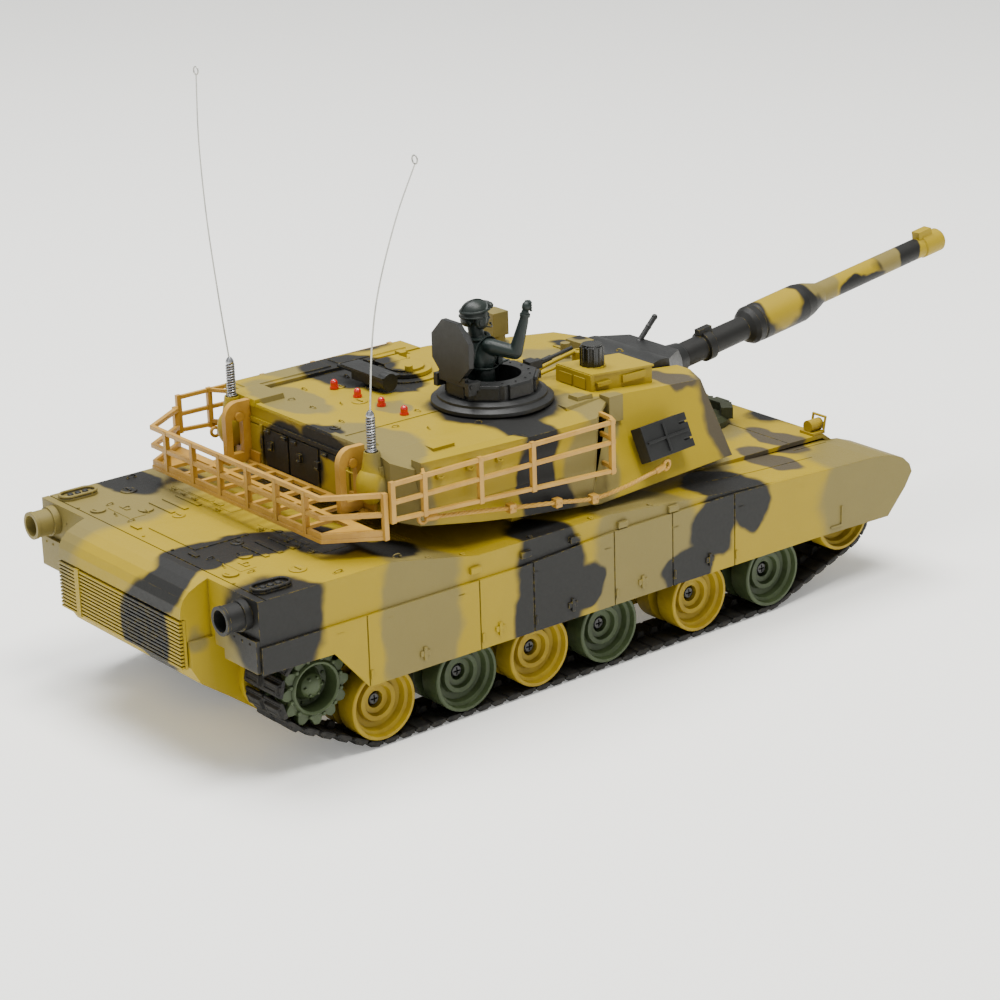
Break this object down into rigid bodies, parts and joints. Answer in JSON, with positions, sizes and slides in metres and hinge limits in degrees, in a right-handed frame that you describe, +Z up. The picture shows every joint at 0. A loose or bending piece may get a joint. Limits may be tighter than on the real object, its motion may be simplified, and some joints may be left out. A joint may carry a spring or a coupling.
{
  "type": "rc tank",
  "caption": "Radio-controlled battle tank with turning turret, tipping gun, cupola with figure, tracks on sprung-free wheels and a bustle rack.",
  "frame": {"origin": "on the ground, midway between the skirts and under the middle of the hull", "axes": "+Z up, gun towards -Y, the tank's left side towards +X"},
  "size_m": [0.1645, 0.4355, 0.2362],
  "materials": {
    "hull_plastic": "sprayed three-colour camouflage over ABS",
    "khaki_plastic": "matt",
    "ochre_plastic": "matt",
    "green_plastic": "matt",
    "dark_plastic": "matt",
    "tan_plastic": "bare moulded plastic",
    "track_rubber": "soft vinyl rubber",
    "steel": "bright",
    "brass": "turned",
    "screw_steel": "black oxide",
    "red_lens": "tinted lens",
    "cell_wrap": "shrink wrap",
    "board": "solder mask"
  },
  "bodies": {
    "hull": {"lower_hull": "hull_plastic", "upper_hull": "hull_plastic", "rear_louvre": "hull_plastic", "tail_pipes": "khaki_plastic", "rear_mudflaps": "hull_plastic", "side_skirts": "hull_plastic", "driver_hatch": "green_plastic", "headlights": "ochre_plastic", "tail_lights": "khaki_plastic", "battery_pack": "cell_wrap", "circuit_board": "board", "gearboxes": "dark_plastic", "drive_motors": "steel", "speaker": "dark_plastic", "wheel_axles": "steel", "wheel_screws": "screw_steel", "final_drive_covers": "hull_plastic", "track_left": "track_rubber", "track_right": "track_rubber"},
    "turret": {"turret_shell": "hull_plastic", "turret_base": "hull_plastic", "bustle_rack": "tan_plastic", "side_rails": "tan_plastic", "tow_cables": "tan_plastic", "smoke_launchers": "dark_plastic", "antennas": "steel", "led_lamps": "red_lens", "sight_box": "hull_plastic", "ir_receiver": "dark_plastic", "thermal_viewer": "khaki_plastic"},
    "gun": {"mantlet": "dark_plastic", "gun_barrel": "dark_plastic"},
    "cupola": {"cupola": "dark_plastic", "commander": "green_plastic"},
    "cupola_hatch": {"cupola_hatch": "dark_plastic"},
    "commander_gun": {"commander_gun": "dark_plastic"},
    "loader_hatch": {"loader_hatch": "hull_plastic"},
    "loader_gun": {"loader_gun": "dark_plastic"},
    "battery_door": {"battery_door": "hull_plastic"},
    "power_switch": {"power_switch": "dark_plastic"},
    "sprocket_left": {"sprocket_left": "green_plastic", "drive_gear_left": "steel"},
    "pinion_left": {"motor_pinion_left": "brass"},
    "wheel_left_1": {"wheel_left_1": "ochre_plastic"},
    "wheel_left_2": {"wheel_left_2": "green_plastic"},
    "wheel_left_3": {"wheel_left_3": "ochre_plastic"},
    "wheel_left_4": {"wheel_left_4": "green_plastic"},
    "wheel_left_5": {"wheel_left_5": "ochre_plastic"},
    "wheel_left_6": {"wheel_left_6": "green_plastic"},
    "idler_left": {"idler_left": "ochre_plastic"},
    "sprocket_right": {"sprocket_right": "green_plastic", "drive_gear_right": "steel"},
    "pinion_right": {"motor_pinion_right": "brass"},
    "wheel_right_1": {"wheel_right_1": "ochre_plastic"},
    "wheel_right_2": {"wheel_right_2": "green_plastic"},
    "wheel_right_3": {"wheel_right_3": "ochre_plastic"},
    "wheel_right_4": {"wheel_right_4": "green_plastic"},
    "wheel_right_5": {"wheel_right_5": "ochre_plastic"},
    "wheel_right_6": {"wheel_right_6": "green_plastic"},
    "idler_right": {"idler_right": "ochre_plastic"}
  },
  "joints": [
    {"name": "turret_turn", "type": "hinge", "parent": "hull", "child": "turret", "pos_m": [0, 0.005, 0.0675], "axis": [0, 0, 1], "range_deg": [-90, 90]},
    {"name": "gun_elevation", "type": "hinge", "parent": "turret", "child": "gun", "pos_m": [0, -0.072, 0.0862], "axis": [-1, 0, 0], "range_deg": [-8, 12]},
    {"name": "cupola_turn", "type": "hinge", "parent": "turret", "child": "cupola", "pos_m": [-0.026, 0.019, 0.1045], "axis": [0, 0, 1], "continuous": true},
    {"name": "cupola_hatch_lift", "type": "hinge", "parent": "cupola", "child": "cupola_hatch", "pos_m": [-0.026, 0.0374, 0.1159], "axis": [1, 0, 0], "range_deg": [-30, 18]},
    {"name": "commander_gun_swing", "type": "hinge", "parent": "cupola", "child": "commander_gun", "pos_m": [-0.026, -0.0016, 0.11], "axis": [0, 0, 1], "range_deg": [-20, 20]},
    {"name": "loader_hatch_lift", "type": "hinge", "parent": "turret", "child": "loader_hatch", "pos_m": [0.04, 0.022, 0.1067], "axis": [0, 1, 0], "range_deg": [0, 100]},
    {"name": "loader_gun_swing", "type": "hinge", "parent": "turret", "child": "loader_gun", "pos_m": [0.02, 0.043, 0.104], "axis": [0, 0, 1], "range_deg": [-20, 20]},
    {"name": "battery_door_swing", "type": "hinge", "parent": "hull", "child": "battery_door", "pos_m": [0, 0.0744, 0.0102], "axis": [1, 0, 0], "range_deg": [0, 100]},
    {"name": "power_switch_slide", "type": "slide", "parent": "hull", "child": "power_switch", "axis": [0, 1, 0], "range_m": [-0.002, 0.002]},
    {"name": "sprocket_left_spin", "type": "hinge", "parent": "hull", "child": "sprocket_left", "pos_m": [0.06, 0.138, 0.0316], "axis": [1, 0, 0], "continuous": true},
    {"name": "pinion_left_spin", "type": "hinge", "parent": "hull", "child": "pinion_left", "pos_m": [0.028, 0.12, 0.0316], "axis": [1, 0, 0], "continuous": true},
    {"name": "wheel_left_1_spin", "type": "hinge", "parent": "hull", "child": "wheel_left_1", "pos_m": [0.06, 0.1095, 0.0174], "axis": [1, 0, 0], "continuous": true},
    {"name": "wheel_left_2_spin", "type": "hinge", "parent": "hull", "child": "wheel_left_2", "pos_m": [0.06, 0.0708, 0.0174], "axis": [1, 0, 0], "continuous": true},
    {"name": "wheel_left_3_spin", "type": "hinge", "parent": "hull", "child": "wheel_left_3", "pos_m": [0.06, 0.0355, 0.0174], "axis": [1, 0, 0], "continuous": true},
    {"name": "wheel_left_4_spin", "type": "hinge", "parent": "hull", "child": "wheel_left_4", "pos_m": [0.06, 0.0004, 0.0174], "axis": [1, 0, 0], "continuous": true},
    {"name": "wheel_left_5_spin", "type": "hinge", "parent": "hull", "child": "wheel_left_5", "pos_m": [0.06, -0.047, 0.0174], "axis": [1, 0, 0], "continuous": true},
    {"name": "wheel_left_6_spin", "type": "hinge", "parent": "hull", "child": "wheel_left_6", "pos_m": [0.06, -0.0871, 0.0174], "axis": [1, 0, 0], "continuous": true},
    {"name": "idler_left_spin", "type": "hinge", "parent": "hull", "child": "idler_left", "pos_m": [0.06, -0.1275, 0.0316], "axis": [1, 0, 0], "continuous": true},
    {"name": "sprocket_right_spin", "type": "hinge", "parent": "hull", "child": "sprocket_right", "pos_m": [-0.06, 0.138, 0.0316], "axis": [1, 0, 0], "continuous": true},
    {"name": "pinion_right_spin", "type": "hinge", "parent": "hull", "child": "pinion_right", "pos_m": [-0.028, 0.12, 0.0316], "axis": [1, 0, 0], "continuous": true},
    {"name": "wheel_right_1_spin", "type": "hinge", "parent": "hull", "child": "wheel_right_1", "pos_m": [-0.06, 0.1095, 0.0174], "axis": [1, 0, 0], "continuous": true},
    {"name": "wheel_right_2_spin", "type": "hinge", "parent": "hull", "child": "wheel_right_2", "pos_m": [-0.06, 0.0708, 0.0174], "axis": [1, 0, 0], "continuous": true},
    {"name": "wheel_right_3_spin", "type": "hinge", "parent": "hull", "child": "wheel_right_3", "pos_m": [-0.06, 0.0355, 0.0174], "axis": [1, 0, 0], "continuous": true},
    {"name": "wheel_right_4_spin", "type": "hinge", "parent": "hull", "child": "wheel_right_4", "pos_m": [-0.06, 0.0004, 0.0174], "axis": [1, 0, 0], "continuous": true},
    {"name": "wheel_right_5_spin", "type": "hinge", "parent": "hull", "child": "wheel_right_5", "pos_m": [-0.06, -0.047, 0.0174], "axis": [1, 0, 0], "continuous": true},
    {"name": "wheel_right_6_spin", "type": "hinge", "parent": "hull", "child": "wheel_right_6", "pos_m": [-0.06, -0.0871, 0.0174], "axis": [1, 0, 0], "continuous": true},
    {"name": "idler_right_spin", "type": "hinge", "parent": "hull", "child": "idler_right", "pos_m": [-0.06, -0.1275, 0.0316], "axis": [1, 0, 0], "continuous": true}
  ],
  "couplings": [
    {"joint": "pinion_left_spin", "follows": "sprocket_left_spin", "ratio": -3},
    {"joint": "wheel_left_1_spin", "follows": "sprocket_left_spin", "ratio": 1.027},
    {"joint": "wheel_left_2_spin", "follows": "sprocket_left_spin", "ratio": 1.027},
    {"joint": "wheel_left_3_spin", "follows": "sprocket_left_spin", "ratio": 1.027},
    {"joint": "wheel_left_4_spin", "follows": "sprocket_left_spin", "ratio": 1.027},
    {"joint": "wheel_left_5_spin", "follows": "sprocket_left_spin", "ratio": 1.027},
    {"joint": "wheel_left_6_spin", "follows": "sprocket_left_spin", "ratio": 1.027},
    {"joint": "idler_left_spin", "follows": "sprocket_left_spin", "ratio": 1.027},
    {"joint": "pinion_right_spin", "follows": "sprocket_right_spin", "ratio": -3},
    {"joint": "wheel_right_1_spin", "follows": "sprocket_right_spin", "ratio": 1.027},
    {"joint": "wheel_right_2_spin", "follows": "sprocket_right_spin", "ratio": 1.027},
    {"joint": "wheel_right_3_spin", "follows": "sprocket_right_spin", "ratio": 1.027},
    {"joint": "wheel_right_4_spin", "follows": "sprocket_right_spin", "ratio": 1.027},
    {"joint": "wheel_right_5_spin", "follows": "sprocket_right_spin", "ratio": 1.027},
    {"joint": "wheel_right_6_spin", "follows": "sprocket_right_spin", "ratio": 1.027},
    {"joint": "idler_right_spin", "follows": "sprocket_right_spin", "ratio": 1.027}
  ]
}
